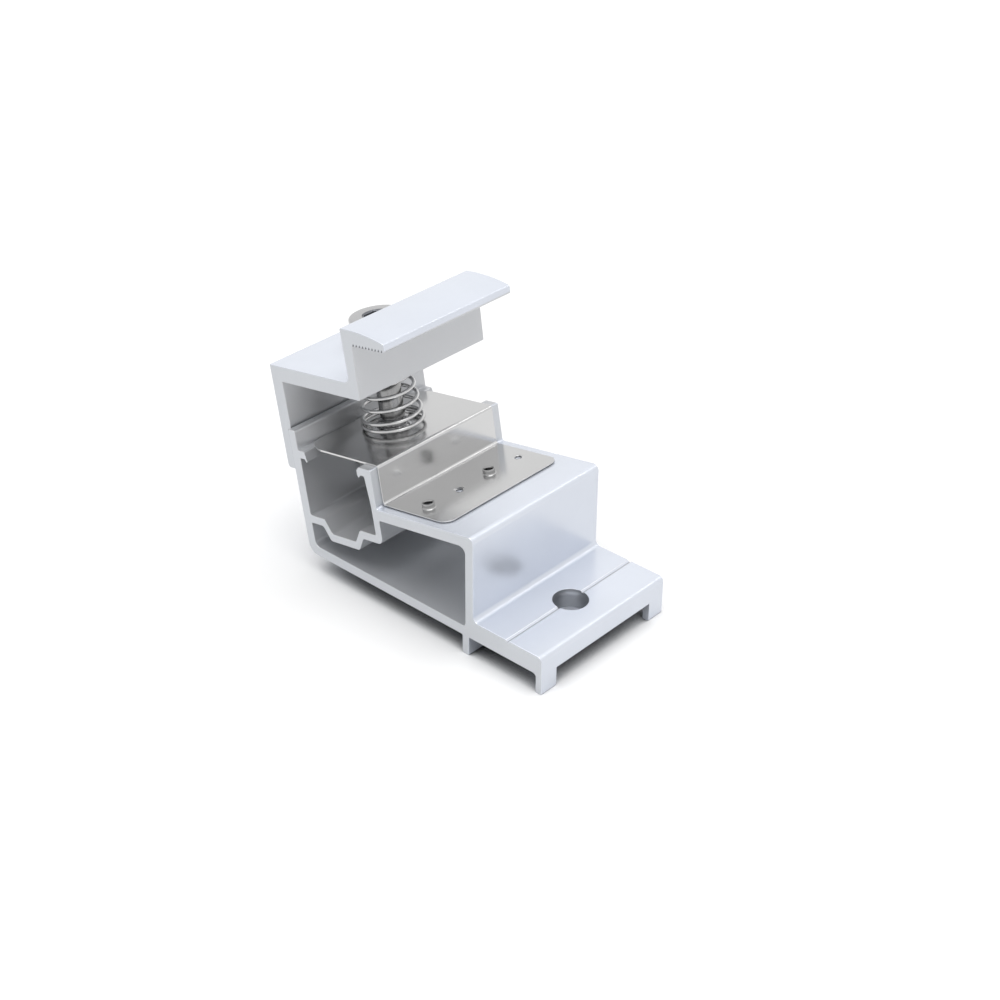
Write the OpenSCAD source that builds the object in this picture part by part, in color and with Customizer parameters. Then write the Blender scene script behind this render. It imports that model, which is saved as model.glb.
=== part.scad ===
// Mounting foot for the edge of a solar panel: a short extruded base with a tilted
// channel, a screw-down edge clamp on a conical spring, and a bonding plate between.
// Level parts are drawn in x, y, z. Tilted parts are drawn in u, y, w, where u runs
// across the channel and w along the screw, both from the foot of the base's left wall.

/* [Base profile] */
// Length of the sawn extrusion
profile_l = 46; // [30:1:90]
// Tilt of the channel against the level floor, in degrees
channel_tilt = 10; // [6:0.5:14]
// Thickness of the channel's walls
channel_wall = 2.8; // [2.2:0.1:3.6]
// Inner width of the channel
channel_w = 24; // [22:0.5:30]
// Height of the channel's floor, along the screw
channel_floor = 11.1; // [10:0.1:13]
// Thickness of the channel's floor
channel_floor_t = 2.2; // [1.6:0.1:3]
// Width of the trough in the channel's floor
trough_w = 13; // [11:0.5:14]
// Width of the trough's own floor
trough_floor_w = 8.7; // [8.2:0.1:10]
// Depth of the trough
trough_depth = 3.7; // [2:0.1:4.5]
// Height of the tall left wall, along the screw
left_wall_h = 34.4; // [31:0.2:38]
// How far the left wall is thinner above its hook than below it
left_wall_step = 0.35; // [0:0.05:0.8]
// Thickness of the channel's right wall above the seat
right_wall_t = 1.85; // [1.4:0.05:2.8]
// Thickness of the channel's right wall inside the box
right_wall_low_t = 2.1; // [1.4:0.05:2.8]
// How far the right wall leans in under its hook
right_wall_lean = 0.75; // [0:0.05:1.2]

/* [Channel hooks] */
// Height of the two hooks' top faces, along the screw
hook_top = 29.1; // [27.5:0.1:30]
// Thickness of the hooks
hook_t = 2.15; // [1.6:0.05:3]
// Reach of the left hook from its wall
left_hook_reach = 2.5; // [2:0.1:3.4]
// Reach of the right hook from its wall
right_hook_reach = 3.2; // [2.4:0.1:4]
// Height of the tooth under each hook's edge
hook_tooth_h = 0.8; // [0.4:0.05:1.2]
// Slope across the left hook's edge
left_hook_slope = 0.6; // [0.2:0.1:1]
// Slope across the right hook's upper edge
right_hook_slope = 0.9; // [0.3:0.1:1.2]

/* [Hollow box] */
// Distance from the left wall's foot to the outer face of the right wall
box_w = 57; // [50:1:70]
// Thickness of the right wall
box_wall = 2.55; // [2:0.05:3.5]
// Thickness of the level floor
floor_t = 2.7; // [2:0.1:3.5]
// Height of the sloping seat, along the screw
seat_h = 18.6; // [16.5:0.1:21]
// Thickness of the sloping seat
seat_t = 3; // [2.2:0.1:4]
// Outer radius at the seat's low corner
seat_corner_r = 1.6; // [0.5:0.1:2.5]
// Radius of the base's lower left corner
heel_r = 3; // [1:0.5:4]

/* [Flange and feet] */
// Width of the flange beside the box
flange_w = 21.8; // [18:0.2:30]
// Thickness of the flange
flange_t = 5.3; // [4:0.1:7]
// Radius along the flange's outer edge
flange_edge_r = 1.5; // [0.5:0.1:2.5]
// Height of the feet below the flange
foot_h = 5.3; // [4:0.1:7]
// Thickness of the outer lip
lip_t = 1.85; // [1.4:0.05:2.6]
// Thickness of the inner rib
rib_t = 2.1; // [1.4:0.05:2.6]
// Distance from the outer face of the box to the left face of the rib
rib_inset = 3.5; // [3:0.1:5]
// Length of the recess milled through lip and rib
recess_l = 35.2; // [20:0.2:40]
// Diameter of the fixing hole
flange_hole_d = 9; // [6.6:0.1:11]
// Distance from the box to the middle of the fixing hole
flange_hole_x = 11.05; // [9:0.05:13]
// Width of the scribed groove through the fixing hole
groove_w = 0.9; // [0.4:0.1:1.6]
// Depth of the scribed groove
groove_d = 0.4; // [0.2:0.1:0.8]

/* [Edge clamp] */
// Length of the clamp along the base
clamp_l = 43.6; // [28:0.2:88]
// Thickness of the leg outside the left wall
leg_t = 3.75; // [2.5:0.05:5]
// Length of the leg below the clamp's plate
leg_l = 24; // [16:0.5:26]
// Gap between the leg and the left wall
leg_gap = 0.25; // [0.2:0.05:0.5]
// Thickness of the clamp's plate
clamp_plate_t = 4.15; // [3:0.05:6]
// Distance from the left wall to the near face of the upright block
block_u = 25.05; // [23:0.05:32]
// Thickness of the upright block
block_t = 2.8; // [2:0.1:4]
// Lean of the block's far side at the wing, its near side leans half as much
block_flare = 0.5; // [0:0.1:1]
// Height of the wing's top above the underside of the clamp's plate
clamp_h = 18.1; // [14:0.05:22]
// Reach of the wing from the upright block's near face
wing_reach = 14.35; // [11:0.05:18]
// Thickness of the wing at the block
wing_t = 4.05; // [3:0.05:4.5]
// Thickness of the wing at its tip
wing_tip_t = 2.2; // [1.7:0.1:2.8]
// Rise of the wing's crown above a straight slope
wing_crown = 0.6; // [0:0.05:0.8]
// Pitch of the gripping teeth under the wing
grip_pitch = 1.07; // [0.8:0.01:1.5]
// Depth of the gripping teeth
grip_depth = 0.5; // [0.2:0.05:0.8]
// Diameter of the screw's hole in the clamp
clamp_hole_d = 9; // [8.4:0.1:9.6]

/* [Clamp screw] */
// Thread diameter
bolt_d = 8; // [6:0.5:8]
// Length below the head
bolt_l = 30; // [28:1:32]
// Length of the threaded end
thread_l = 11.3; // [11:0.1:14]
// Diameter of the plain shank
shank_d = 6.4; // [5:0.1:7]
// Diameter of the head
head_d = 14.4; // [12:0.1:15]
// Height of the head
head_h = 8.4; // [6:0.1:9]
// Size of the hexagon socket across its flats
socket_af = 6; // [5:0.5:7]
// Depth of the hexagon socket
socket_depth = 4.4; // [3:0.1:5.5]

/* [Spring] */
// Wire diameter
wire_d = 1; // [0.7:0.05:1.2]
// Height of the spring with the clamp at rest
spring_h = 17.05; // [14:0.05:20]
// Outer diameter of the spring's widest coil
spring_d = 16.8; // [15:0.1:17.5]
// Outer diameter of the spring's top coil
spring_top_d = 12.3; // [10.4:0.1:13]
// Number of turns, with a closed turn at each end
spring_turns = 6.33; // [5:0.01:7.5]

/* [Bonding plate] */
// Thickness of the sheet
sheet_t = 0.5; // [0.4:0.05:0.8]
// Length of the plate along the base
plate_l = 41; // [27:0.5:86]
// Reach of the lower leaf from the channel's right wall
leaf_reach = 22; // [16:0.1:26]
// Radius of the plate's free corners
plate_corner_r = 3; // [1:0.5:5]
// Diameter of the screw's hole in the plate
plate_hole_d = 9; // [8.4:0.1:9.6]
// Distance of the row of pierced collars from the channel's right wall
collar_u = 11.5; // [8:0.1:13]
// Spacing of the pierced collars
collar_pitch = 10.8; // [6:0.1:11]
// Outer diameter of a raised collar
collar_d = 3.2; // [2.8:0.1:4]
// Bore of a collar
collar_bore = 2.2; // [1.6:0.1:2.5]
// Height of a raised collar above the sheet
collar_h = 1.3; // [0.6:0.1:2]

/* [Channel nut] */
// Length of the nut along the channel
nut_l = 10.4; // [9:0.1:14]
// Height of the nut
nut_h = 10; // [8:0.5:11]
// Chamfer on the nut's lower edges
nut_chamfer = 2; // [1:0.5:3]
// Gap between the nut and each wall of the channel
nut_gap = 0.5; // [0.3:0.1:1]

/* [Hidden] */

$fn = 64;
arc_steps = 5;
fit_gap = 0.05;
through = 1;
tilt_sin = sin(channel_tilt);
tilt_cos = cos(channel_tilt);

// Edge radii of the extrusions, from the sharpest to the softest
crisp_r = 0.2;
foot_r = 0.3;
edge_r = 0.4;
corner_r = 0.6;
web_r = 1;
nose_r = 0.7;
hollow_r = 1.8;
// Width of the hooks' teeth at their tips
tooth_w = 0.4;

// Heights and places in the tilted frame
mid_y = profile_l / 2;
channel_right = channel_wall + channel_w;
right_wall_outer = channel_right + right_wall_t;
right_wall_low = channel_right + right_wall_low_t;
right_wall_in = channel_right - right_wall_lean;
left_hook_edge = channel_wall + left_hook_reach;
right_hook_edge = channel_right - right_hook_reach;
hook_under = hook_top - hook_t;
tooth_tip = hook_under - hook_tooth_h;
slot_mid = (left_hook_edge + right_hook_edge) / 2;
trough_floor = channel_floor - trough_depth;
shoulder_left = slot_mid - trough_w / 2;
shoulder_right = slot_mid + trough_w / 2;
trough_left = slot_mid - trough_floor_w / 2;
trough_right = slot_mid + trough_floor_w / 2;
web_shift = 0.39 * channel_floor_t;
lean_start = channel_floor + 0.5 * (hook_under - channel_floor);
left_wall_low = channel_wall - 0.15;
channel_under = channel_floor - channel_floor_t;
seat_under = seat_h - seat_t;
wall_top_u = channel_wall - left_wall_step;

// Level parts
box_inner = box_w - box_wall;
flange_end = box_w + flange_w;
hole_x = box_w + flange_hole_x;
rib_x = box_w - rib_inset;

// Clamp, screw and spring in the tilted frame. The screw stands slightly off the slot's middle.
screw_u = slot_mid - 0.25;
screw_y = mid_y - 0.3;
sheet_top = hook_top + sheet_t;
clamp_under = sheet_top + spring_h;
clamp_top = clamp_under + clamp_plate_t;
wing_top = clamp_under + clamp_h;
wing_under = wing_top - wing_t;
block_right = block_u + block_t;
wing_tip = block_u + wing_reach;
leg_inner = -leg_gap;
leg_outer = leg_inner - leg_t;
block_left_top = block_u - block_flare / 2;
block_right_top = block_right + block_flare;
grip_land = 0.25 * grip_pitch;
grip_count = floor((wing_tip - corner_r - block_right_top + grip_land) / grip_pitch);
head_seat = clamp_top + fit_gap;
nut_top = tooth_tip - fit_gap;

// Spring coils
spring_low = sheet_top + wire_d / 2 + fit_gap;
spring_rise = spring_h - wire_d - 2 * fit_gap;
closed_low = 1.25;
closed_high = 0.9;
closed_pitch = wire_d + fit_gap;
closed_turns = closed_low + closed_high;
open_pitch = (spring_rise - closed_turns * closed_pitch) / (spring_turns - closed_turns);
coil_r_low = (spring_d - wire_d) / 2;
coil_r_high = (spring_top_d - wire_d) / 2;
coil_start = 73;
rings_per_turn = 26;
wire_sides = 8;

// Point of the x, z plane at u, w of the tilted frame
function tilted(u, w) = [u * tilt_cos - w * tilt_sin, u * tilt_sin + w * tilt_cos];
// Point where a line of constant u meets the height z
function at_z(u, z) = [(u - z * tilt_sin) / tilt_cos, z];
// Point where a line of constant w meets the upright line at x
function at_x(w, x) = [x, (w + x * tilt_sin) / tilt_cos];

// A corner is [point, radius]. Rounding swings an arc that is tangent to both sides.
function unit(v) = v / norm(v);
function turn_between(a, b) = let (d = b - a) d > 180 ? d - 360 : d < -180 ? d + 360 : d;
function arc_points(prev, here, next, r) =
    let (to_prev = unit(prev - here), to_next = unit(next - here))
    let (half = acos(to_prev * to_next) / 2)
    let (centre = here + unit(to_prev + to_next) * r / sin(half))
    let (first = here + to_prev * r / tan(half) - centre, last = here + to_next * r / tan(half) - centre)
    let (start = atan2(first.y, first.x), step = turn_between(start, atan2(last.y, last.x)) / arc_steps)
    [for (i = [0:arc_steps]) centre + r * [cos(start + i * step), sin(start + i * step)]];
function rounded(corners) = let (n = len(corners))
    [for (i = [0:n - 1]) each corners[i][1] == 0 ? [corners[i][0]] :
        arc_points(corners[(i + n - 1) % n][0], corners[i][0], corners[(i + 1) % n][0], corners[i][1])];

// Outer outline of the base: left wall, channel and hooks, seat, flange, feet and floor
base_outline = [
    [[0, 0], heel_r],
    [tilted(0, left_wall_h), edge_r],
    [tilted(wall_top_u, left_wall_h), corner_r],
    [tilted(wall_top_u, hook_top), crisp_r],
    [tilted(left_hook_edge - left_hook_slope, hook_top), edge_r],
    [tilted(left_hook_edge, tooth_tip + crisp_r), crisp_r],
    [tilted(left_hook_edge - tooth_w, tooth_tip), crisp_r / 2],
    [tilted(left_hook_edge - 2 * tooth_w, hook_under), crisp_r],
    [tilted(channel_wall, hook_under), edge_r],
    [tilted(channel_wall, channel_floor), corner_r],
    [tilted(shoulder_left, channel_floor), web_r],
    [tilted(trough_left, trough_floor), web_r],
    [tilted(trough_right, trough_floor), web_r],
    [tilted(shoulder_right, channel_floor), web_r],
    [tilted(channel_right, channel_floor), corner_r],
    [tilted(channel_right, lean_start), web_r],
    [tilted(right_wall_in, hook_under), edge_r],
    [tilted(right_hook_edge + 3 * tooth_w, hook_under), edge_r],
    [tilted(right_hook_edge + tooth_w, tooth_tip), crisp_r / 2],
    [tilted(right_hook_edge, hook_under), foot_r],
    [tilted(right_hook_edge, hook_top - right_hook_slope), edge_r],
    [tilted(right_hook_edge + right_hook_slope, hook_top), edge_r],
    [tilted(right_wall_outer, hook_top), edge_r],
    [tilted(right_wall_outer, seat_h), corner_r],
    [at_x(seat_h, box_w), seat_corner_r],
    [[box_w, flange_t], web_r],
    [[hole_x - groove_w / 2, flange_t], 0],
    [[hole_x, flange_t - groove_d], 0],
    [[hole_x + groove_w / 2, flange_t], 0],
    [[flange_end, flange_t], flange_edge_r],
    [[flange_end, -foot_h], foot_r],
    [[flange_end - lip_t, -foot_h], foot_r],
    [[flange_end - lip_t, 0], web_r],
    [[rib_x + rib_t, 0], edge_r],
    [[rib_x + rib_t, -foot_h], foot_r],
    [[rib_x, -foot_h], corner_r],
    [[rib_x, 0], edge_r]
];

// Hollow of the box, up to the underside of the channel's floor and of the seat
hollow_outline = [
    [at_z(left_wall_low, floor_t), hollow_r],
    [tilted(left_wall_low, channel_under), corner_r],
    [tilted(shoulder_left - web_shift, channel_under), web_r],
    [tilted(trough_left - web_shift, trough_floor - channel_floor_t), web_r],
    [tilted(trough_right + web_shift, trough_floor - channel_floor_t), web_r],
    [tilted(shoulder_right + web_shift, channel_under), web_r],
    [tilted(right_wall_low, channel_under), hollow_r],
    [tilted(right_wall_low, seat_under), corner_r],
    [at_x(seat_under, box_inner), hollow_r],
    [[box_inner, floor_t], web_r]
];

// Outline of the clamp: leg, plate, block and toothed wing
function wing_fall(t) = -t * (wing_t - wing_tip_t) + 4 * wing_crown * t * (1 - t);
clamp_outline = concat(
    [
        [[leg_outer, clamp_under - leg_l], web_r],
        [[leg_outer, clamp_top], crisp_r],
        [[block_u, clamp_top], hollow_r],
        [[block_left_top, wing_top], edge_r]
    ],
    [for (t = [0.125:0.125:0.875])
        [[block_left_top + t * (wing_tip - block_left_top), wing_top + wing_fall(t)], 0]],
    [
        [[wing_tip, wing_under + wing_tip_t], nose_r],
        [[wing_tip, wing_under], corner_r]
    ],
    [for (i = [grip_count - 1:-1:0]) each [
        [[block_right_top + (i + 1) * grip_pitch - grip_land, wing_under], 0],
        [[block_right_top + (i + 0.5) * grip_pitch, wing_under + grip_depth], 0],
        [[block_right_top + i * grip_pitch + grip_land, wing_under], 0]
    ]],
    [
        [[block_right_top, wing_under], crisp_r],
        [[block_right, clamp_under], foot_r],
        [[leg_inner, clamp_under], edge_r],
        [[leg_inner, clamp_under - leg_l], foot_r]
    ]
);

// Outline of the bonding plate: top leaf on the hooks, step down, lower leaf on the seat
bend_gap = 0.1;
bend_r = 0.4;
step_u = right_wall_outer + bend_gap;
leaf_end = right_wall_outer + leaf_reach;
top_leaf_start = wall_top_u + 2 * bend_gap;
plate_outline = [
    [[top_leaf_start, hook_top], 0],
    [[step_u, hook_top], bend_r],
    [[step_u, seat_h], bend_r + sheet_t],
    [[leaf_end, seat_h], 0],
    [[leaf_end, seat_h + sheet_t], 0],
    [[step_u + sheet_t, seat_h + sheet_t], bend_r],
    [[step_u + sheet_t, sheet_top], bend_r + sheet_t],
    [[top_leaf_start, sheet_top], 0]
];
plate_plan = [
    [[top_leaf_start, screw_y - plate_l / 2], plate_corner_r],
    [[leaf_end, screw_y - plate_l / 2], plate_corner_r],
    [[leaf_end, screw_y + plate_l / 2], plate_corner_r],
    [[top_leaf_start, screw_y + plate_l / 2], plate_corner_r]
];

// Outline of the nut across the channel
nut_left = channel_wall + nut_gap;
nut_right = right_wall_in - nut_gap;
nut_low = nut_top - nut_h;
nut_outline = [
    [[nut_left, nut_low + nut_chamfer], 0],
    [[nut_left, nut_top], edge_r],
    [[nut_right, nut_top], edge_r],
    [[nut_right, nut_low + nut_chamfer], 0],
    [[nut_right - nut_chamfer, nut_low], 0],
    [[nut_left + nut_chamfer, nut_low], 0]
];

// The frame's origin is the middle of the fixing hole at the flange's underside
module in_frame() {
    translate([-hole_x, -mid_y, 0]) children();
}

module in_tilted_frame() {
    in_frame() rotate([0, -channel_tilt, 0]) children();
}

// Sweeps an outline drawn across the base along y, centred on the base
module along_base(corners, length) {
    translate([0, mid_y + length / 2, 0]) rotate([90, 0, 0]) linear_extrude(length) polygon(rounded(corners));
}

// Round bar along the screw's axis, from one height to another
module on_screw_axis(low, high, d) {
    translate([screw_u, screw_y, low]) cylinder(h = high - low, d = d);
}

module base_profile() {
    color("gainsboro") in_frame() difference() {
        along_base(base_outline, profile_l);
        along_base(hollow_outline, profile_l + 2 * through);
        translate([hole_x, mid_y, -through]) cylinder(h = flange_t + 2 * through, d = flange_hole_d);
        translate([rib_x - through, mid_y - recess_l / 2, -foot_h - through])
            cube([flange_end - rib_x + 2 * through, recess_l, foot_h + through]);
    }
}

module edge_clamp() {
    color("aliceblue") in_tilted_frame() difference() {
        along_base(clamp_outline, clamp_l);
        on_screw_axis(clamp_under - through, clamp_top + through, clamp_hole_d);
    }
}

// Socket-head screw with a plain shank and a thicker threaded end
module clamp_screw() {
    rim = 0.5;
    tip = 0.8;
    head_top = head_seat + head_h;
    thread_low = head_seat - bolt_l;
    color("silver") in_tilted_frame() difference() {
        union() {
            on_screw_axis(head_seat, head_top - rim, head_d);
            translate([screw_u, screw_y, head_top - rim])
                cylinder(h = rim, d1 = head_d, d2 = head_d - 2 * rim);
            on_screw_axis(thread_low + thread_l - through, head_seat + rim, shank_d);
            on_screw_axis(thread_low + tip, thread_low + thread_l, bolt_d);
            translate([screw_u, screw_y, thread_low]) cylinder(h = tip, d1 = bolt_d - 2 * tip, d2 = bolt_d);
        }
        translate([screw_u, screw_y, head_top - socket_depth])
            cylinder(h = socket_depth + through, d = socket_af / cos(30), $fn = 6);
    }
}

// Height of the wire's middle after a number of turns: closed, open, then closed again
function coil_height(t) =
    let (open = min(max(t - closed_low, 0), spring_turns - closed_turns))
    spring_low + open * open_pitch + (t - open) * closed_pitch;
function coil_radius(t) =
    coil_r_low + (coil_r_high - coil_r_low) * (coil_height(t) - spring_low) / spring_rise;
function wire_point(t, side) =
    let (a = coil_start + 360 * t, b = 360 * side / wire_sides)
    let (r = coil_radius(t) + wire_d / 2 * cos(b))
    [r * cos(a), r * sin(a), coil_height(t) + wire_d / 2 * sin(b)];

module conical_spring() {
    rings = round(spring_turns * rings_per_turn);
    points = [for (i = [0:rings], s = [0:wire_sides - 1]) wire_point(spring_turns * i / rings, s)];
    walls = [for (i = [0:rings - 1], s = [0:wire_sides - 1]) let (next = (s + 1) % wire_sides)
        [i * wire_sides + s, (i + 1) * wire_sides + s, (i + 1) * wire_sides + next, i * wire_sides + next]];
    caps = [[for (s = [0:wire_sides - 1]) s], [for (s = [wire_sides - 1:-1:0]) rings * wire_sides + s]];
    color("lightsteelblue") in_tilted_frame() translate([screw_u, screw_y, 0])
        polyhedron(points, concat(walls, caps));
}

// Stepped stainless sheet with raised collars and countersunk holes in turn
module bonding_plate() {
    collar_x = right_wall_outer + collar_u;
    color("darkgray") in_tilted_frame() difference() {
        union() {
            intersection() {
                along_base(plate_outline, plate_l + 2 * through);
                translate([0, 0, seat_h - through])
                    linear_extrude(sheet_top - seat_h + 2 * through) polygon(rounded(plate_plan));
            }
            for (i = [0, 2]) translate([collar_x, mid_y + (i - 1.5) * collar_pitch, seat_h])
                cylinder(h = sheet_t + collar_h, d = collar_d);
        }
        on_screw_axis(hook_top - through, sheet_top + through, plate_hole_d);
        for (i = [0:3]) translate([collar_x, mid_y + (i - 1.5) * collar_pitch, seat_h - through])
            cylinder(h = sheet_t + collar_h + 2 * through, d = collar_bore);
        for (i = [1, 3]) translate([collar_x, mid_y + (i - 1.5) * collar_pitch, seat_h])
            cylinder(h = sheet_t, d1 = collar_bore, d2 = collar_bore + 2 * sheet_t);
    }
}

module channel_nut() {
    color("gray") in_tilted_frame() difference() {
        along_base(nut_outline, nut_l);
        on_screw_axis(nut_low - through, nut_top + through, bolt_d + 2 * fit_gap);
    }
}

base_profile();
edge_clamp();
clamp_screw();
conical_spring();
bonding_plate();
channel_nut();
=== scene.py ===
import math

import bpy
import numpy as np
from mathutils import Matrix, Vector
from mathutils.geometry import tessellate_polygon


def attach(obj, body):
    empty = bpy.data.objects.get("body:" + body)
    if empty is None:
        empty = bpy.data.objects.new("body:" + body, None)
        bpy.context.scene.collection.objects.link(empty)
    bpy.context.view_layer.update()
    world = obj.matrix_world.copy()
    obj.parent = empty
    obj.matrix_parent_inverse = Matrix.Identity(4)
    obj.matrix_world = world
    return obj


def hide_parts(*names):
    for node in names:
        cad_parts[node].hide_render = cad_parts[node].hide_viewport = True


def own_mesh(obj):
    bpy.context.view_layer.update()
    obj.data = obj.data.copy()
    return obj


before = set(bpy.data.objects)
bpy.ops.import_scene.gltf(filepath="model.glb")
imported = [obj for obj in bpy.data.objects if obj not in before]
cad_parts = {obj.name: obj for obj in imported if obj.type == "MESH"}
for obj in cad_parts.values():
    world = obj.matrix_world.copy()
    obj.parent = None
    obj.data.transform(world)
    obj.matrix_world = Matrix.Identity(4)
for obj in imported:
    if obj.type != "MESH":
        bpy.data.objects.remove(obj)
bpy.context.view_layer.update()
print("frame loaded")

# Shapes are drawn in millimetres from the heel of the base, across it in x and along it in y.
# The frame's origin is the middle of the fixing hole at the flange's underside.
layout = {
    "holeCentre": np.array([68.05, 23.0, 0.0]),
    "tilt": math.radians(10),
    "screwAxis": (14.2, 22.7),
    "arcSteps": 8,
    "rimSteps": 4,
    "leastBend": 0.02,
    "sharpAngle": math.radians(30),
}
cosTilt = math.cos(layout["tilt"])
sinTilt = math.sin(layout["tilt"])


def leaned(points):
    """Turns points drawn in the tilted frame (u across, y along, w up) about y into x, y, z."""
    u, y, w = points.T
    return np.stack([u * cosTilt - w * sinTilt, y, u * sinTilt + w * cosTilt], axis=1)


def unleaned(points):
    """Turns x, y, z back into the tilted frame's u, y, w."""
    x, y, z = points.T
    return np.stack([x * cosTilt + z * sinTilt, y, z * cosTilt - x * sinTilt], axis=1)


def leanedCorners(corners):
    """The same turn for corner rows of u, w and radius."""
    u, w, radius = np.array(corners, float).T
    return np.stack([u * cosTilt - w * sinTilt, u * sinTilt + w * cosTilt, radius], axis=1)


def roundedLoop(corners, inset=0.0, steps=layout["arcSteps"]):
    """Closed outline with round corners, counterclockwise.

    Both sides of a corner move inward by the inset. The arc is tangent to both, its centre is one
    radius from each, and its arm swings through the angle that the outline turns there.
    """
    rows = np.array(corners, float)
    here, radius = rows[:, :2], rows[:, 2]
    x, z = here.T
    if np.sum(x * np.roll(z, -1) - z * np.roll(x, -1)) < 0:
        here, radius = here[::-1], radius[::-1]
    into = here - np.roll(here, 1, axis=0)
    into = into / np.linalg.norm(into, axis=1)[:, None]
    away = np.roll(into, -1, axis=0)
    leftIn = np.stack([-into[:, 1], into[:, 0]], axis=1)
    leftOut = np.roll(leftIn, -1, axis=0)
    cross = into[:, 0] * away[:, 1] - into[:, 1] * away[:, 0]
    dot = np.sum(into * away, axis=1)
    turn = np.arctan2(cross, dot)
    side = np.sign(turn)
    moved = here + inset * (leftIn + leftOut) / (1 + dot)[:, None]
    bend = np.where(radius > 0, np.maximum(radius - inset * side, layout["leastBend"]), 0)
    reach = bend * np.tan(np.abs(turn) / 2)
    centre = moved - into * reach[:, None] + leftIn * (side * bend)[:, None]
    arm = -leftIn * (side * bend)[:, None]
    swing = turn[:, None] * np.linspace(0, 1, steps + 1)
    arcX = centre[:, :1] + arm[:, :1] * np.cos(swing) - arm[:, 1:] * np.sin(swing)
    arcZ = centre[:, 1:] + arm[:, :1] * np.sin(swing) + arm[:, 1:] * np.cos(swing)
    kept = (radius > 0)[:, None] | (np.arange(steps + 1) == 0)
    return np.stack([arcX[kept], arcZ[kept]], axis=1)


def tubeFaces(rows, count, first=0, inward=False):
    """Quads between neighbouring rings, each a closed loop of count points."""
    k, i = np.meshgrid(np.arange(rows - 1), np.arange(count), indexing="ij")
    low = first + k * count + i
    lowNext = first + k * count + (i + 1) % count
    quads = np.stack([low, low + count, lowNext + count, lowNext], axis=-1).reshape(-1, 4)
    return (quads[:, ::-1] if inward else quads).tolist()


def capFaces(loops, firsts, flipped):
    """Triangles that fill the first loop, less the others. Counterclockwise ones face -y."""
    flat = np.concatenate(loops)
    places = np.concatenate([first + np.arange(len(loop)) for loop, first in zip(loops, firsts)])
    split = tessellate_polygon([[Vector((x, z, 0)) for x, z in loop] for loop in loops])
    split = np.array(split)
    a, b, c = flat[split[:, 0]], flat[split[:, 1]], flat[split[:, 2]]
    area = (b[:, 0] - a[:, 0]) * (c[:, 1] - a[:, 1]) - (b[:, 1] - a[:, 1]) * (c[:, 0] - a[:, 0])
    wrong = (area < 0) != flipped
    split[wrong] = split[wrong][:, ::-1]
    return places[split].tolist()


def rimStations(low, high, rim):
    """Places along y and insets of the rings: a quarter round at each end, straight between."""
    swing = np.linspace(0, math.pi / 2, layout["rimSteps"] + 1)
    near = rim * (1 - np.cos(swing))
    inset = rim * (1 - np.sin(swing))
    return np.append(low + near, high - near[::-1]), np.append(inset, inset[::-1])


def carried(outline, low, high, rim, hollow=None, steps=layout["arcSteps"], ends=None):
    """Carries an outline along y. Each ring is the outline moved in by the rim's inset there.

    Where ends is given, it holds the rings' own places and insets, and a function that reshapes
    them. Returns points, faces, and a label per face: 0 outside, 1 end cap, 2 inside the hollow.
    """
    y, inset = rimStations(low, high, rim) if ends is None else ends["stations"]
    points, faces, labels, caps = [], [], [], []
    for corners, side in [(outline, 1), (hollow, -1)]:
        if corners is None:
            continue
        loops = np.stack([roundedLoop(corners, side * d, steps) for d in inset])
        if ends is not None:
            loops = ends["shape"](loops)
        count = loops.shape[1]
        first = sum(len(p) for p in points)
        ring = np.stack([loops[:, :, 0], np.repeat(y[:, None], count, 1), loops[:, :, 1]], axis=2)
        points.append(ring.reshape(-1, 3))
        faces += tubeFaces(len(y), count, first, inward=side < 0)
        labels += [0 if side > 0 else 2] * (len(faces) - len(labels))
        caps.append((loops, first, first + (len(y) - 1) * count))
    near = capFaces([c[0][0] for c in caps], [c[1] for c in caps], False)
    far = capFaces([c[0][-1] for c in caps], [c[2] for c in caps], True)
    labels += [1] * (len(near) + len(far))
    return np.concatenate(points), faces + near + far, labels


def boxSolid(spans):
    """Eight corners and six faces of a block from its spans in x, y and z."""
    (x0, x1), (y0, y1), (z0, z1) = spans
    points = np.array([(x, y, z) for x in (x0, x1) for y in (y0, y1) for z in (z0, z1)], float)
    faces = [[0, 1, 3, 2], [4, 6, 7, 5], [0, 4, 5, 1], [2, 3, 7, 6], [0, 2, 6, 4], [1, 5, 7, 3]]
    return points, faces


def middles(points, faces, labels):
    """Middle of each side face, across and up. The side faces are quads and come first."""
    quads = np.array(faces[: int(np.sum(np.array(labels) != 1))])
    middle = points[quads].mean(axis=1)
    return middle[:, 0], middle[:, 2]


def within(across, up, spans):
    """Which faces' middles lie inside a span across and a span up."""
    (left, right), (low, high) = spans
    return (across > left) & (across < right) & (up > low) & (up < high)


def relabel(labels, chosen, names, name):
    """Gives the chosen faces, counted from the first, one of a piece's finishes."""
    labels[: len(chosen)][chosen] = names.index(name)


def readFaces(obj, field, width=3):
    """A row of values per face of an object."""
    values = np.empty(width * len(obj.data.polygons))
    obj.data.polygons.foreach_get(field, values)
    return values.reshape(-1, width)


def faceMiddles(obj):
    """Middle of each of an object's faces, in the tilted frame's u, y, w."""
    return unleaned(1000 * readFaces(obj, "center") + layout["holeCentre"])


def turnedSolid(profile, axis, count=64):
    """Turns rows of radius and height about an upright axis, with flat ends. Rows run upward."""
    angle = np.arange(count) * 2 * math.pi / count
    radius, height = np.array(profile, float).T
    x = axis[0] + radius[:, None] * np.cos(angle)
    y = axis[1] + radius[:, None] * np.sin(angle)
    z = np.repeat(height[:, None], count, axis=1)
    points = np.stack([x, y, z], axis=2).reshape(-1, 3)
    faces = tubeFaces(len(profile), count, inward=True)
    faces.append(list(range(count))[::-1])
    faces.append(list(range(len(points) - count, len(points))))
    return points, faces


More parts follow.
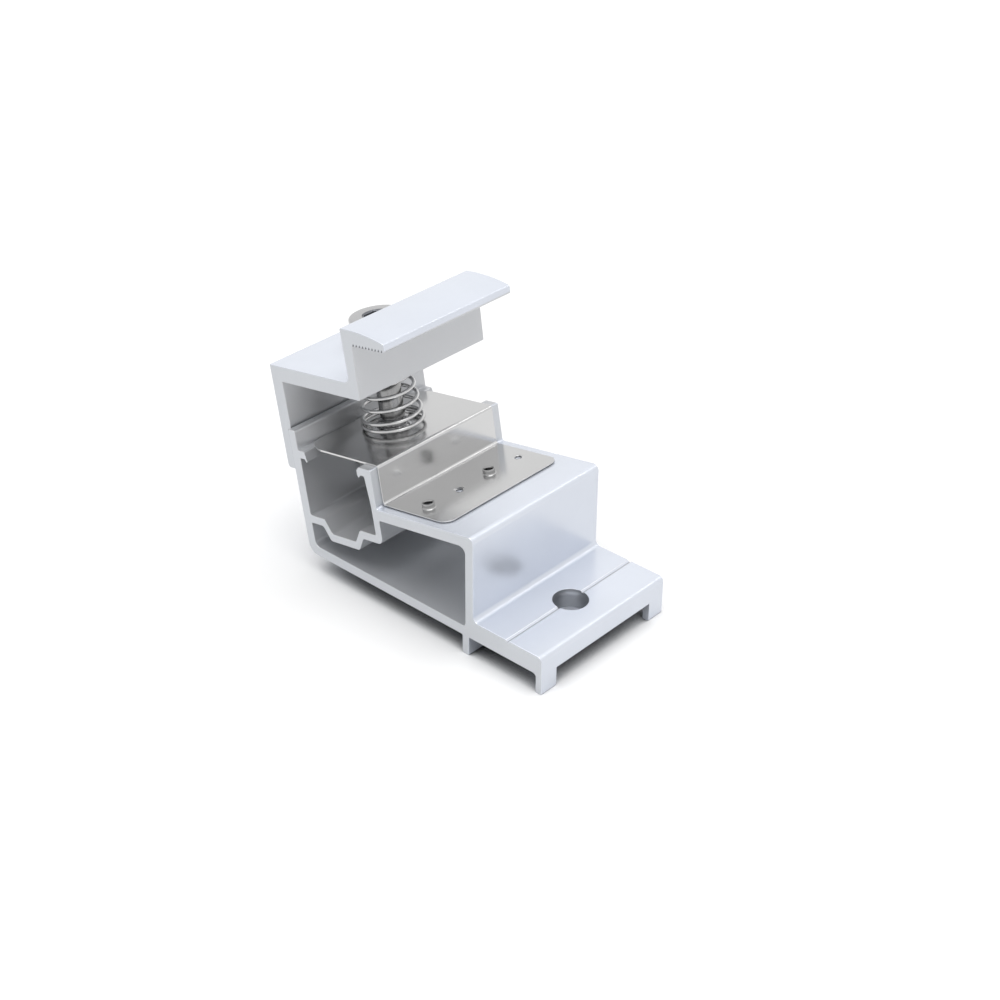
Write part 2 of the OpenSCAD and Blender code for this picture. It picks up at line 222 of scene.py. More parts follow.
def makeObject(name, points, faces):
    """A mesh object at the origin, with its place in the mesh, in metres of the frame."""
    mesh = bpy.data.meshes.new(name)
    mesh.from_pydata(((points - layout["holeCentre"]) / 1000).tolist(), [], faces)
    mesh.update()
    obj = bpy.data.objects.new(name, mesh)
    bpy.context.scene.collection.objects.link(obj)
    return obj


def joined(parts):
    """One set of points and faces from several."""
    points, faces = [], []
    for p, f in parts:
        first = sum(len(q) for q in points)
        points.append(p)
        faces += [[first + v for v in face] for face in f]
    return np.concatenate(points), faces


def carve(obj, points, faces, operation="DIFFERENCE"):
    """Cuts a solid out of an object's mesh, or adds it, for good."""
    tool = makeObject("tool", points, faces)
    step = obj.modifiers.new("carve", "BOOLEAN")
    step.operation = operation
    step.solver = "EXACT"
    step.object = tool
    bpy.context.view_layer.update()
    graph = bpy.context.evaluated_depsgraph_get()
    shaped = bpy.data.meshes.new_from_object(obj.evaluated_get(graph))
    shaped.name = obj.name
    obj.modifiers.clear()
    old = obj.data
    obj.data = shaped
    bpy.data.meshes.remove(old)
    toolMesh = tool.data
    bpy.data.objects.remove(tool)
    bpy.data.meshes.remove(toolMesh)


def finishPiece(obj, names, body, node):
    """Finishes by name, edges sharp above an angle, normals weighted by area, and the ride."""
    for name in names:
        obj.data.materials.append(finishes[name])
    obj.data.shade_smooth()
    obj.data.set_sharp_from_angle(angle=layout["sharpAngle"])
    weighted = obj.modifiers.new("weighted", "WEIGHTED_NORMAL")
    weighted.keep_sharp = True
    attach(obj, body)
    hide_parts(node)
    print(obj.name, "built with", len(obj.data.polygons), "faces")


def node(tree, kind, **values):
    """A shader node with its properties, and constants on its own sockets by name."""
    made = tree.nodes.new(kind)
    for key, value in values.items():
        if hasattr(made, key):
            setattr(made, key, value)
        else:
            made.inputs[key.replace("_", " ")].default_value = value
    return made


def mapped(tree, source, span, target):
    """The output of a map range node that takes a socket from one span to another."""
    made = node(tree, "ShaderNodeMapRange")
    for name, value in zip(("From Min", "From Max", "To Min", "To Max"), (*span, *target)):
        made.inputs[name].default_value = value
    tree.links.new(source, made.inputs["Value"])
    return made.outputs["Result"]


noise = {
    "span": (0.3, 0.7),
    "lineDetail": 4.0,
    "lineRoughness": 0.6,
    "cloudScale": 70.0,
    "cloudDetail": 2.0,
    "speckle": 0.03,
    "reliefDepth": 0.0001,
}


def metal(name, colour, metallic, roughness, stretch, grain, bump):
    """Metal with fine lines: noise on object coordinates, drawn out by stretch, sets the bump and
    the spread of roughness, and a slower noise shades the colour."""
    material = bpy.data.materials.new(name)
    material.use_nodes = True
    tree = material.node_tree
    shader = tree.nodes["Principled BSDF"]
    shader.inputs["Metallic"].default_value = metallic
    place = node(tree, "ShaderNodeTexCoord")
    stretched = node(tree, "ShaderNodeMapping", Scale=stretch)
    lines = node(
        tree,
        "ShaderNodeTexNoise",
        Scale=grain,
        Detail=noise["lineDetail"],
        Roughness=noise["lineRoughness"],
    )
    cloud = node(
        tree,
        "ShaderNodeTexNoise",
        Scale=noise["cloudScale"],
        Detail=noise["cloudDetail"],
    )
    tint = node(tree, "ShaderNodeVectorMath", operation="SCALE")
    tint.inputs[0].default_value = colour
    relief = node(tree, "ShaderNodeBump", Strength=bump, Distance=noise["reliefDepth"])
    link = tree.links.new
    link(place.outputs["Object"], stretched.inputs["Vector"])
    link(stretched.outputs["Vector"], lines.inputs["Vector"])
    link(place.outputs["Object"], cloud.inputs["Vector"])
    spread = mapped(tree, lines.outputs["Fac"], noise["span"], roughness)
    shade = mapped(tree, cloud.outputs["Fac"], noise["span"], (1 - noise["speckle"], 1.0))
    link(spread, shader.inputs["Roughness"])
    link(shade, tint.inputs["Scale"])
    link(tint.outputs["Vector"], shader.inputs["Base Color"])
    link(lines.outputs["Fac"], relief.inputs["Height"])
    link(relief.outputs["Normal"], shader.inputs["Normal"])
    return material


# How the fine lines are drawn out: along y on the extrusions, the sheet and the nut, up z on sawn
# ends and on the shank, and not at all on the rest
along, sheetLines, nutLines = (1, 0.02, 1), (1, 0.03, 1), (1, 0.05, 1)
sawLines, shankLines, even = (1, 1, 0.06), (1, 1, 0.04), (1, 1, 1)
finishes = {
    # bluish tint that stands in for cool light from above: painted light over the aluminium's own
    # colour
    "satin": metal("satinAluminium", (0.735, 0.77, 0.845), 0.5, (0.23, 0.26), along, 2600, 0.004),
    "sawn": metal("sawnAluminium", (0.63, 0.65, 0.68), 0.7, (0.45, 0.52), sawLines, 2200, 0.10),
    # darker, neutral copy of the aluminium for the hollow's inside: painted shade
    "inside": metal("hollowShadeAluminium", (0.64, 0.655, 0.68), 0.5, (0.30, 0.34), along, 2600, 0.01),
    # darker, neutral copy for the channel and the clamp's underside and inner faces: painted shade
    "shade": metal("paintedShadeAluminium", (0.62, 0.63, 0.65), 0.5, (0.28, 0.32), along, 2600, 0.01),
    # near-white copy for the groove's lips: painted highlight
    "scribed": metal("scribedAluminium", (0.93, 0.94, 0.97), 0.5, (0.20, 0.26), along, 2600, 0.01),
    # dark copy for the fixing hole's wall and the groove's bottom: painted shade
    "bore": metal("boreShadeAluminium", (0.37, 0.38, 0.395), 0.6, (0.30, 0.40), even, 2600, 0.01),
    # darker than the head of the same screw: painted shade inside the spring
    "shank": metal("shadedShankSteel", (0.31, 0.31, 0.31), 1.0, (0.14, 0.24), shankLines, 2600, 0.03),
    "sheet": metal("rolledSheet", (0.61, 0.61, 0.61), 1.0, (0.15, 0.20), sheetLines, 3000, 0.02),
    # near-black for the socket, the clamp's notches and the line atop the left wall: painted shade
    "gap": metal("paintedGapShade", (0.14, 0.145, 0.16), 0.6, (0.4, 0.5), sawLines, 2200, 0.02),
    "bright": metal("brightSteel", (0.47, 0.47, 0.475), 1.0, (0.12, 0.20), even, 1500, 0.03),
    "wire": metal("drawnWire", (0.60, 0.60, 0.60), 1.0, (0.12, 0.20), even, 1500, 0.03),
    # darker than the sheet the collars are pressed from: painted shade
    "collar": metal("shadedCollarSteel", (0.40, 0.40, 0.40), 1.0, (0.12, 0.20), even, 2000, 0.02),
    "mill": metal("millNut", (0.48, 0.485, 0.49), 1.0, (0.35, 0.5), nutLines, 1800, 0.2),
}
print("materials ready")

# Base extrusion: left wall, channel with its two hooks, seat, flange, feet and floor
base = {
    "length": 46.0,
    "rim": 0.14,
    "tiltedCorners": [
        (0, 34.4, 0.4), (2.45, 34.4, 0.6), (2.45, 29.1, 0.2), (4.7, 29.1, 0.4),
        (5.3, 26.35, 0.2), (4.9, 26.15, 0.1), (4.5, 26.95, 0.2), (2.8, 26.95, 0.4),
        (2.8, 11.1, 0.6), (7.95, 11.1, 1), (10.1, 7.4, 1), (18.8, 7.4, 1), (20.95, 11.1, 1),
        (26.8, 11.1, 0.6), (26.8, 19.03, 1), (26.05, 26.95, 0.4), (24.8, 26.95, 0.4),
        (24.0, 26.15, 0.1), (23.6, 26.95, 0.3), (23.6, 28.2, 0.4), (24.5, 29.1, 0.4),
        (28.65, 29.1, 0.4), (28.65, 18.6, 0.6),
    ],
    "levelCorners": [
        (57, 28.938, 1.6), (57, 5.3, 1.5), (67.5, 5.3, 0.16), (67.86, 4.87, 0.05),
        (68.24, 4.87, 0.05), (68.6, 5.3, 0.16), (78.8, 5.3, 1.5), (78.8, -5.3, 0.3),
        (76.95, -5.3, 0.3), (76.95, 0, 1), (55.6, 0, 0.4), (55.6, -5.3, 0.3),
        (53.5, -5.3, 0.6), (53.5, 0, 0.4), (0, 0, 3),
    ],
    "hollowTilted": [
        (2.65, 8.9, 0.6), (7.09, 8.9, 1), (9.24, 5.2, 1), (19.66, 5.2, 1), (21.81, 8.9, 1),
        (28.9, 8.9, 1.8), (28.9, 15.6, 0.6),
    ],
    "hollowLevel": [(54.45, 25.442, 1.8), (54.45, 2.7, 1), (2.215, 2.7, 1.8)],
    "holeRadius": 4.5,
    "holeBreak": 0.05,
    "holeLow": -2.0,
    "holeSides": 96,
    "flangeTop": 5.3,
    "recess": ((52.5, 80.8), (5.4, 40.6), (-6.3, 0.0)),
    "channelSpans": ((0.3, 26.9), (7, 34.6)),
    "bareWallSpans": ((28.4, 30.0), (19.2, 29.0)),
    "wallTopSpans": ((-1.0, 0.3), (34.0, 36.0)),
    "lipSpans": ((67.3, 68.8), (5.2, 5.299)),
    "grooveSpans": ((67.9, 68.2), (4.8, 5.0)),
    "finishes": ("satin", "sawn", "inside", "shade", "bore", "gap", "scribed"),
}


def labelBase(points, faces, labels):
    """Painted shade on the faces inside the channel and at the bottom of the groove, a painted
    shadow line at the top of the left wall beside the leg, painted highlights on the groove's
    lips, and bare metal on the wall behind the sheet.
    """
    u, w = middles(unleaned(points), faces, labels)
    x, z = middles(points, faces, labels)
    outside = labels[: len(u)] == 0
    names = base["finishes"]
    # the channel's faces get the darker copy: painted shade
    relabel(labels, within(u, w, base["channelSpans"]) & outside, names, "shade")
    relabel(labels, within(u, w, base["bareWallSpans"]) & outside, names, "sawn")
    # near-black line atop the left wall beside the leg: painted shadow
    relabel(labels, within(u, w, base["wallTopSpans"]), names, "gap")
    # the groove's lips get the near-white copy: painted highlight
    relabel(labels, within(x, z, base["lipSpans"]), names, "scribed")
    # the groove's bottom gets the dark copy: painted shade
    relabel(labels, within(x, z, base["grooveSpans"]), names, "bore")


def buildBase():
    """The outline and the hollow carried along, less the fixing hole and the space between the
    feet. The hole's wall gets painted shade."""
    outline = np.concatenate([leanedCorners(base["tiltedCorners"]), base["levelCorners"]])
    hollow = np.concatenate([leanedCorners(base["hollowTilted"]), base["hollowLevel"]])
    points, faces, labels = carried(outline, 0.0, base["length"], base["rim"], hollow)
    labels = np.array(labels)
    labelBase(points, faces, labels)
    obj = makeObject("baseExtrusion", points, faces)
    obj.data.polygons.foreach_set("material_index", labels)
    radius, edge, top = base["holeRadius"], base["holeBreak"], base["flangeTop"]
    hole = turnedSolid(
        [
            (radius, base["holeLow"]), (radius, top - edge), (radius + edge, top),
            (radius + 2 * edge, top + edge),
        ],
        layout["holeCentre"][:2],
        base["holeSides"],
    )
    carve(obj, *joined([hole, boxSolid(base["recess"])]))
    middle = 1000 * readFaces(obj, "center")
    upright = np.abs(readFaces(obj, "normal")[:, 2]) < 0.5
    labels = readFaces(obj, "material_index", 1)[:, 0].astype(int)
    # the hole's wall gets the dark copy: painted shade
    wall = (np.hypot(middle[:, 0], middle[:, 1]) < radius + 2 * edge) & upright
    relabel(labels, wall, base["finishes"], "bore")
    obj.data.polygons.foreach_set("material_index", labels)
    return obj


finishPiece(buildBase(), base["finishes"], "base", "base_profile")

# Clamp: leg, plate over the spring, block, and the wing with its row of teeth
clamp = {
    "span": (1.2, 44.8),
    "rim": 0.12,
    "legAndPlate": [(-4, 22.65, 1), (-4, 50.8, 0.2), (25.05, 50.8, 1.8), (24.8, 64.75, 0.4)],
    "crownStart": 24.8,
    "crownReach": 14.6,
    "crownFall": 1.85,
    "crownBulge": 2.4,
    "crownShares": (0.07, 0.93, 14),
    "wingTop": 64.75,
    "wingTip": [(39.4, 62.9, 0.7), (39.4, 60.7, 0.6)],
    "gripStart": 28.35,
    "gripPitch": 1.07,
    "gripCount": 10,
    "gripDepth": 0.5,
    "gripLand": 0.2675,
    "wingUnder": 60.7,
    "blockAndLeg": [
        (28.35, 60.7, 0.2), (27.85, 46.65, 0.3), (-0.25, 46.65, 0.4), (-0.25, 22.65, 0.3),
    ],
    "hole": [(4.5, 45), (4.5, 52)],
    "openWing": 61.3,
    "openPlate": 50.5,
    "legOutside": -3.95,
    "notchSpans": ((27.0, 38.75), (60.82, 61.2)),
    "finishes": ("satin", "sawn", "shade", "gap"),
}


def clampCorners():
    """The wing's top falls by a straight slope plus a shallow parabola, and its underside has
    one notch per pitch."""
    t = np.linspace(*clamp["crownShares"])
    fall = -clamp["crownFall"] * t + clamp["crownBulge"] * t * (1 - t)
    crownU = clamp["crownStart"] + clamp["crownReach"] * t
    crown = np.stack([crownU, clamp["wingTop"] + fall, 0 * t], axis=1)
    start = clamp["gripStart"] + clamp["gripPitch"] * np.arange(clamp["gripCount"] - 1, -1, -1)
    land, pitch, under = clamp["gripLand"], clamp["gripPitch"], clamp["wingUnder"]
    notch = np.array([(pitch - land, 0), (pitch / 2, clamp["gripDepth"]), (land, 0)])
    teethU = (start[:, None] + notch[:, 0]).ravel()
    teethW = np.tile(under + notch[:, 1], len(start))
    teeth = np.stack([teethU, teethW, 0 * teethU], axis=1)
    rest = (clamp["wingTip"], teeth, clamp["blockAndLeg"])
    return np.concatenate([clamp["legAndPlate"], crown, *rest])


def buildClamp():
    """The outline carried along, less the screw's hole. Its underside and inside get a darker
    copy, painted shade against its top and the leg's outside, and the notches get painted shade as
    well."""
    points, faces, labels = carried(clampCorners(), *clamp["span"], clamp["rim"])
    labels = np.array(labels)
    u, w = middles(points, faces, labels)
    overPlate = (w > clamp["openPlate"]) & (u < clamp["legAndPlate"][2][0])
    opened = (w > clamp["openWing"]) | overPlate | (u < clamp["legOutside"])
    # faces away from the open top get the darker copy: painted shade
    relabel(labels, ~opened, clamp["finishes"], "shade")
    # the notches get the near-black: painted shade
    relabel(labels, within(u, w, clamp["notchSpans"]), clamp["finishes"], "gap")
    obj = makeObject("edgeClampBody", leaned(points), faces)
    obj.data.polygons.foreach_set("material_index", labels)
    points, faces = turnedSolid(clamp["hole"], layout["screwAxis"])
    carve(obj, leaned(points), faces)
    return obj


finishPiece(buildClamp(), clamp["finishes"], "clamp", "edge_clamp")

# Screw: threaded end, plain shank, and a round head with a hexagon socket
screw = {
    "tip": 20.85,
    "threadEnd": 32.15,
    "pitch": 1.25,
    "threadRadius": 4.0,
    "threadDepth": 0.68,
    "threadRows": 110,
    "threadFades": (0.6, 1.0),
    "threadForm": (1.25, 1.5),
    "tipBreak": 0.8,
    "shankStep": 0.2,
    "shankRadius": 3.2,
    "headSeat": 50.85,
    "headTop": 59.25,
    "headRadius": 7.2,
    "headRim": 0.7,
    "headBreak": 0.3,
    "headSteps": 7,
    "socketRows": [
        (3.85, 0, 0), (3.75, 0, 0), (3.4, -0.1, 0.7), (3.0, -0.3, 1), (3.0, -4.4, 1),
        (0.6, -4.9, 0),
    ],
    "angles": 432,
    "finishes": ("bright", "shank", "gap"),
}


def threadProfile():
    """Rows of radius, height, share of the thread and share of the hexagon, up to the head's
    rounded rim and down into the socket."""
    tip, end, wide = screw["tip"], screw["threadEnd"], screw["threadRadius"]
    low, high = tip + screw["tipBreak"], end - screw["shankStep"]
    heights = np.linspace(low, high, screw["threadRows"])
    fadeIn, fadeOut = screw["threadFades"]
    rows = [(wide - screw["tipBreak"], tip, 0, 0)]
    for height in heights:
        fade = min(1, (height - low) / fadeIn, (high - height) / fadeOut)
        rows.append((wide, height, fade, 0))
    shank, seat, top = screw["shankRadius"], screw["headSeat"], screw["headTop"]
    wide, rim, edge = screw["headRadius"], screw["headRim"], screw["headBreak"]
    rows += [(shank, end, 0, 0), (shank, seat, 0, 0), (wide - edge, seat, 0, 0)]
    rows += [(wide, seat + edge, 0, 0), (wide, top - rim, 0, 0)]
    for swing in np.linspace(0, math.pi / 2, screw["headSteps"])[1:]:
        across, up = rim * math.cos(swing), rim * math.sin(swing)
        rows.append((wide - rim + across, top - rim + up, 0, 0))
    rows += [(radius, top + drop, 0, share) for radius, drop, share in screw["socketRows"]]
    return np.array(rows, float)


def buildScrew():
    """A grid of angle and profile row. In the thread the radius dips by a triangle wave of
    height over pitch less angle over a turn, cut flat at crest and root. In the socket it follows
    a hexagon, the apothem over the cosine of the angle from the nearest flat's middle."""
    rows = threadProfile()
    angle = np.arange(screw["angles"]) * 2 * math.pi / screw["angles"]
    radius, height, thread, hexagon = rows.T[:, :, None]
    saw = (height / screw["pitch"] - angle / (2 * math.pi)) % 1
    root, slope = screw["threadForm"]
    dip = screw["threadDepth"] * np.clip(root - slope * np.abs(2 * saw - 1), 0, 1)
    flat = 1 / np.cos((angle + math.pi / 6) % (math.pi / 3) - math.pi / 6)
    radius = (radius - thread * dip) * (1 + hexagon * (flat - 1))
    u = layout["screwAxis"][0] + radius * np.cos(angle)
    y = layout["screwAxis"][1] + radius * np.sin(angle)
    points = np.stack([u, y, height + 0 * angle], axis=2).reshape(-1, 3)
    count = len(angle)
    faces = tubeFaces(len(rows), count, inward=True)
    faces.append(list(range(count))[::-1])
    faces.append(list(range(len(points) - count, len(points))))
    obj = makeObject("clampScrewBody", leaned(points), faces)
    names = screw["finishes"]
    low, high = rows[:-1, 1], rows[1:, 1]
    band = np.zeros(len(low), int)
    # the plain shank gets the darker steel: painted shade
    relabel(band, (high > screw["threadEnd"]) & (low < screw["headSeat"]), names, "shank")
    inner = np.arange(len(low)) > len(low) - len(screw["socketRows"])
    # the socket gets the near-black: painted shade
    relabel(band, inner & (high < screw["headTop"]), names, "gap")
    ends = (names.index("bright"), names.index("gap"))
    obj.data.polygons.foreach_set("material_index", np.append(np.repeat(band, count), ends))
    return obj


finishPiece(buildScrew(), screw["finishes"], "screw", "clamp_screw")

# Conical spring between the plate and the clamp
spring = {
    "low": 30.15,
    "rise": 15.95,
    "turns": 6.33,
    "closedLow": 1.25,
    "closedHigh": 0.9,
    "closedPitch": 1.05,
    "wireRadius": 0.5,
    "radiusLow": 7.9,
    "radiusHigh": 5.65,
    "startAngle": math.radians(73),
    "ringsPerTurn": 56,
    "sides": 16,
    "tipRings": 4,
    "tipClosing": 0.8,
    "plateTop": 29.6,
    "keep": 0.443,
}


def buildSpring():
    """Wire round a helix. Its middle climbs by the closed pitch in the end turns and by the open
    pitch between, and its radius shrinks in step with the height. The wire's radius closes by a
    quarter round over the last rings."""
    steps = round(spring["turns"] * spring["ringsPerTurn"])
    t = np.linspace(0, spring["turns"], steps + 1)
    closed = spring["closedLow"] + spring["closedHigh"]
    openTurns = spring["turns"] - closed
    openPitch = (spring["rise"] - closed * spring["closedPitch"]) / openTurns
    opened = np.clip(t - spring["closedLow"], 0, openTurns)
    height = spring["low"] + opened * openPitch + (t - opened) * spring["closedPitch"]
    share = (height - spring["low"]) / spring["rise"]
    radius = spring["radiusLow"] + (spring["radiusHigh"] - spring["radiusLow"]) * share
    angle = spring["startAngle"] + 2 * math.pi * t
    ending = np.minimum(np.arange(steps + 1), np.arange(steps, -1, -1)) / spring["tipRings"]
    closing = spring["tipClosing"] * np.clip(1 - ending, 0, 1) ** 2
    thick = spring["wireRadius"] * np.sqrt(1 - closing)
    side = np.arange(spring["sides"]) * 2 * math.pi / spring["sides"]
    out = radius[:, None] + thick[:, None] * np.cos(side)
    u = layout["screwAxis"][0] + out * np.cos(angle)[:, None]
    y = layout["screwAxis"][1] + out * np.sin(angle)[:, None]
    w = height[:, None] + thick[:, None] * np.sin(side)
    points = np.stack([u, y, w], axis=2).reshape(-1, 3)
    faces = tubeFaces(steps + 1, spring["sides"], inward=False)
    faces.append(list(range(spring["sides"])))
    faces.append(list(range(len(points) - spring["sides"], len(points)))[::-1])
    return makeObject("springWire", leaned(points), faces)


springWire = buildSpring()
finishPiece(springWire, ["wire"], "base", "conical_spring")

# Bonding plate: thin sheet over the hooks, a step down the wall, and a leaf on the seat
plate = {
    "span": (2.2, 43.2),
    "seatCorner": 3.0,
    "topCorner": 6.0,
    "cornerRings": 11,
    "outline": [
        (2.65, 29.1, 0.06), (28.67, 29.1, 0.4), (28.67, 18.85, 0.9), (50.65, 18.85, 0.06),
        (50.65, 19.1, 0.06), (29.17, 19.1, 0.75), (29.17, 29.6, 0.9), (2.65, 29.6, 0.06),
    ],
    "rim": 0.06,
    "arcSteps": 6,
    "leftOf": 6,
    "rightOf": 48,
    "screwHole": [(4.5, 28), (4.5, 31)],
    "screwHoleSides": 96,
    "rowU": 40.15,
    "rowY": (6.8, 17.6, 28.4, 39.2),
    "rowSides": 48,
    "collarSpans": ((38.35, 41.95), (19.15, 21.0)),
    "collarProfile": [
        (1.85, 18.95), (1.8, 19.12), (1.7, 19.17), (1.63, 19.28), (1.6, 19.45), (1.6, 19.9),
        (1.6, 20.25), (1.55, 20.36), (1.42, 20.4),
    ],
    "boreProfile": [(1.1, 17.5), (1.1, 20.0), (1.16, 20.22), (1.3, 20.45), (1.5, 20.7)],
    "sinkProfile": [(0.9, 17.5), (0.9, 18.88), (1.05, 18.96), (1.5, 19.06), (1.95, 19.2)],
    "finishes": ("sheet", "collar"),
}


def drawnBack(past, radius):
    """How far a round corner's edge lies back at a distance past the cut edge."""
    return radius - np.sqrt(radius ** 2 - np.clip(radius - past, 0, radius) ** 2)


def plateStations():
    """Rings along y, dense over the round corners, with a small round on the cut edge. A leaf's
    end draws back by its corner's radius less the height of a quarter circle there."""
    low, high = plate["span"]
    swept = 1 - np.cos(np.linspace(0, math.pi / 2, plate["cornerRings"]))
    reached = np.unique(np.append(plate["seatCorner"] * swept, plate["topCorner"] * swept))
    rim = plate["rim"]
    near = np.concatenate([[low], low + rim + reached])
    y = np.append(near, low + high - near[::-1])
    inset = np.where((y == low) | (y == high), rim, 0.0)
    past = np.clip(np.minimum(y - low, high - y) - rim, 0, None)
    return y, inset, drawnBack(past, plate["topCorner"]), drawnBack(past, plate["seatCorner"])


def buildPlate():
    """The stepped sheet, with collars added in every other place of the row, and then all the
    holes cut. The collars get painted shade, darker than the sheet."""
    y, inset, topBack, seatBack = plateStations()

    def drawBack(loops):
        out = loops.copy()
        left = np.where(loops[:, :, 0] < plate["leftOf"], topBack[:, None], 0)
        right = np.where(loops[:, :, 0] > plate["rightOf"], seatBack[:, None], 0)
        out[:, :, 0] += left - right
        return out

    ends = {"stations": (y, inset), "shape": drawBack}
    points, faces, _ = carried(plate["outline"], 0, 0, 0, steps=plate["arcSteps"], ends=ends)
    obj = makeObject("bondingSheet", leaned(points), faces)
    row = [(plate["rowU"], place) for place in plate["rowY"]]
    sides = plate["rowSides"]
    points, faces = joined([turnedSolid(plate["collarProfile"], at, sides) for at in row[::2]])
    carve(obj, leaned(points), faces, "UNION")
    holes = [turnedSolid(plate["boreProfile"], at, sides) for at in row[::2]]
    holes += [turnedSolid(plate["sinkProfile"], at, sides) for at in row[1::2]]
    holes.append(turnedSolid(plate["screwHole"], layout["screwAxis"], plate["screwHoleSides"]))
    points, faces = joined(holes)
    carve(obj, leaned(points), faces)
    u, y, w = faceMiddles(obj).T
    labels = np.zeros(len(u), int)
    # the collars get the darker steel: painted shade
    relabel(labels, within(u, w, plate["collarSpans"]), plate["finishes"], "collar")
    obj.data.polygons.foreach_set("material_index", labels)
    return obj


finishPiece(buildPlate(), plate["finishes"], "base", "bonding_plate")

# Nut that slides in the channel
nut = {
    "span": (17.8, 28.2),
    "rim": 0.15,
    "outline": [
        (3.3, 18.1, 0.2), (3.3, 26.1, 0.4), (25.55, 26.1, 0.4), (25.55, 18.1, 0.2),
        (23.55, 16.1, 0.2), (5.3, 16.1, 0.2),
    ],
    "bore": [(4.05, 15), (4.05, 27)],
}


def buildNut():
    """The outline carried along, less the screw's bore."""
    points, faces, _ = carried(nut["outline"], *nut["span"], nut["rim"])
    obj = makeObject("channelNutBody", leaned(points), faces)
    points, faces = turnedSolid(nut["bore"], layout["screwAxis"])
    carve(obj, leaned(points), faces)
    return obj


finishPiece(buildNut(), ["mill"], "base", "channel_nut")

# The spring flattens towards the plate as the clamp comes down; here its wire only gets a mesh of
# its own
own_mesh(springWire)

# Studio: pale floor that keeps the shadow, white all round, a wide soft lamp above and a small
# one behind for the rims
studio = {
    "floorHeight": -0.0053,
    "floorSize": 4.0,
    "floorColour": (0.8, 0.8, 0.8, 1),
    "coverReach": 0.02,
    "coverSamples": 8,
    "cover": (0.17, 0.47),
    "paintedShadowLevel": 0.02,
    "fade": (0.2, 0.4),
    "farLevel": 1.1,
    "worldLevel": 0.43,
    "lampTarget": Vector((-0.02, 0, 0.03)),
    "lamps": [
        {
            "name": "softTop", "azimuth": 30, "elevation": 86, "away": 1.6,
            "size": (1.76, 1.76), "energy": 25.2,
        },
        {
            "name": "rim", "azimuth": 157, "elevation": 44, "away": 1.0,
            "size": (0.1, 0.1), "energy": 0.13,
        },
    ],
}


def shownRays(tree):
    """1 for rays that show the background: to the camera, in a reflection or through glass."""
    rays = node(tree, "ShaderNodeLightPath")
    first = node(tree, "ShaderNodeMath", operation="MAXIMUM")
    both = node(tree, "ShaderNodeMath", operation="MAXIMUM")
    tree.links.new(rays.outputs["Is Camera Ray"], first.inputs[0])
    tree.links.new(rays.outputs["Is Glossy Ray"], first.inputs[1])
    tree.links.new(first.outputs[0], both.inputs[0])
    tree.links.new(rays.outputs["Is Transmission Ray"], both.inputs[1])
    return both.outputs[0]


def shownPaper(tree):
    """What the shown rays see: white paper whose colour darkens where the object covers it, a
    painted contact shadow over the lamps' real shadow, and which glows plain white far out."""
    paper = node(tree, "ShaderNodeBsdfDiffuse")
    covered = node(
        tree,
        "ShaderNodeAmbientOcclusion",
        samples=studio["coverSamples"],
        Distance=studio["coverReach"],
    )
    # colour follows the occlusion: painted contact shadow
    level = mapped(tree, covered.outputs["AO"], studio["cover"], (studio["paintedShadowLevel"], 1.0))
    tree.links.new(level, paper.inputs["Color"])
    white = node(tree, "ShaderNodeEmission", Color=(1, 1, 1, 1), Strength=studio["farLevel"])
    place = node(tree, "ShaderNodeTexCoord")
    reach = node(tree, "ShaderNodeVectorMath", operation="LENGTH")
    tree.links.new(place.outputs["Object"], reach.inputs[0])
    faded = node(tree, "ShaderNodeMixShader")
    fade = mapped(tree, reach.outputs["Value"], studio["fade"], (0.0, 1.0))
    tree.links.new(fade, faded.inputs[0])
    tree.links.new(paper.outputs[0], faded.inputs[1])
    tree.links.new(white.outputs[0], faded.inputs[2])
    return faded.outputs[0]


def mixShown(tree, light, shown, output):
    """Gives the shown rays one shader and all other rays the other."""
    choice = node(tree, "ShaderNodeMixShader")
    tree.links.new(shownRays(tree), choice.inputs[0])
    tree.links.new(light, choice.inputs[1])
    tree.links.new(shown, choice.inputs[2])
    tree.links.new(choice.outputs[0], node(tree, output).inputs["Surface"])


def buildFloor():
    """Pale paper at the height of the feet's undersides."""
    half = studio["floorSize"] / 2
    corners = np.array([(-half, -half), (half, -half), (half, half), (-half, half)])
    mesh = bpy.data.meshes.new("floor")
    heights = np.full(len(corners), studio["floorHeight"])
    mesh.from_pydata(np.column_stack([corners, heights]).tolist(), [], [[0, 1, 2, 3]])
    floor = bpy.data.objects.new("floor", mesh)
    bpy.context.scene.collection.objects.link(floor)
    material = bpy.data.materials.new("floorPaper")
    material.use_nodes = True
    tree = material.node_tree
    tree.nodes.clear()
    paper = node(tree, "ShaderNodeBsdfDiffuse", Color=studio["floorColour"])
    mixShown(tree, paper.outputs[0], shownPaper(tree), "ShaderNodeOutputMaterial")
    mesh.materials.append(material)


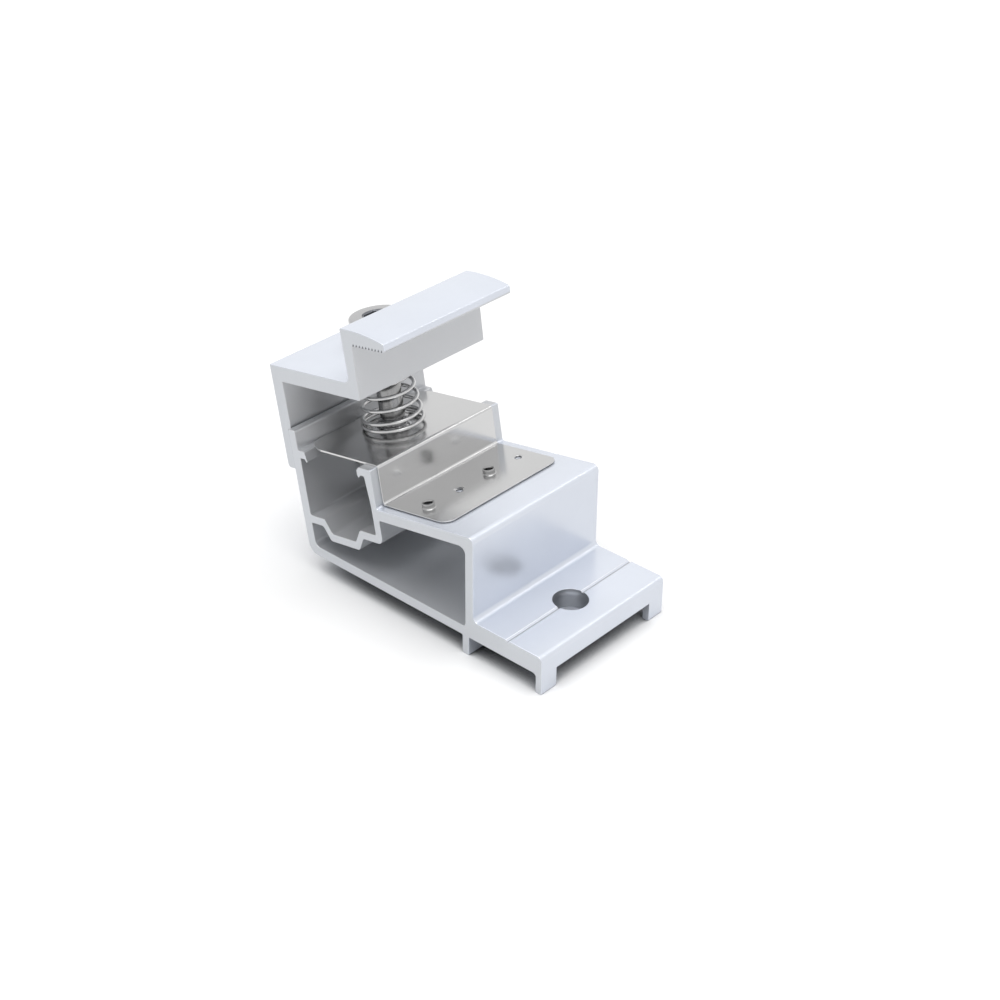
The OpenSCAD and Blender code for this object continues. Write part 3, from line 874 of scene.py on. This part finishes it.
def buildWorld():
    """Soft light from all round, which the shown rays see as plain white."""
    world = bpy.data.worlds.new("studio")
    bpy.context.scene.world = world
    world.use_nodes = True
    tree = world.node_tree
    tree.nodes.clear()
    light = node(tree, "ShaderNodeBackground", Color=(1, 1, 1, 1), Strength=studio["worldLevel"])
    shown = node(tree, "ShaderNodeBackground", Color=(1, 1, 1, 1), Strength=1.0)
    mixShown(tree, light.outputs[0], shown.outputs[0], "ShaderNodeOutputWorld")


def direction(azimuth, elevation):
    """Unit vector from the object. Azimuth 0 looks from -y, and 90 from +x."""
    level = math.cos(elevation)
    return Vector((math.sin(azimuth) * level, -math.cos(azimuth) * level, math.sin(elevation)))


def softLamp(lamp):
    """Rectangular lamp in a direction from the object, turned so that it faces it."""
    away = direction(math.radians(lamp["azimuth"]), math.radians(lamp["elevation"]))
    data = bpy.data.lights.new(lamp["name"], "AREA")
    data.shape = "RECTANGLE"
    data.size, data.size_y = lamp["size"]
    data.energy = lamp["energy"]
    holder = bpy.data.objects.new(lamp["name"], data)
    bpy.context.scene.collection.objects.link(holder)
    holder.location = studio["lampTarget"] + away * lamp["away"]
    holder.rotation_euler = (-away).to_track_quat("-Z", "Y").to_euler()


buildFloor()
buildWorld()
for lamp in studio["lamps"]:
    softLamp(lamp)
print("studio ready")

# Camera at the photograph's angle
view = {
    "target": Vector((-0.016776, -0.007266, 0.030)),
    "distance": 0.444306,
    "azimuth": math.radians(41.898),
    "elevation": math.radians(31.963),
    "roll": math.radians(0.391),
    "lens": 67.005,
    "sensor": 36,
    "clipStart": 0.01,
}


def buildCamera():
    """Camera that looks back along its direction, with a small roll about it."""
    azimuth, roll = view["azimuth"], view["roll"]
    back = direction(azimuth, view["elevation"])
    right = Vector((math.cos(azimuth), math.sin(azimuth), 0))
    up = back.cross(right)
    rolledRight = math.cos(roll) * right + math.sin(roll) * up
    rolledUp = -math.sin(roll) * right + math.cos(roll) * up
    data = bpy.data.cameras.new("camera")
    data.lens = view["lens"]
    data.sensor_width = view["sensor"]
    data.clip_start = view["clipStart"]
    camera = bpy.data.objects.new("camera", data)
    bpy.context.scene.collection.objects.link(camera)
    turn = Matrix((rolledRight, rolledUp, back)).transposed()
    place = Matrix.Translation(view["target"] + back * view["distance"])
    camera.matrix_world = place @ turn.to_4x4()
    bpy.context.scene.camera = camera


buildCamera()
bpy.context.scene.view_settings.view_transform = "Standard"
bpy.context.view_layer.update()
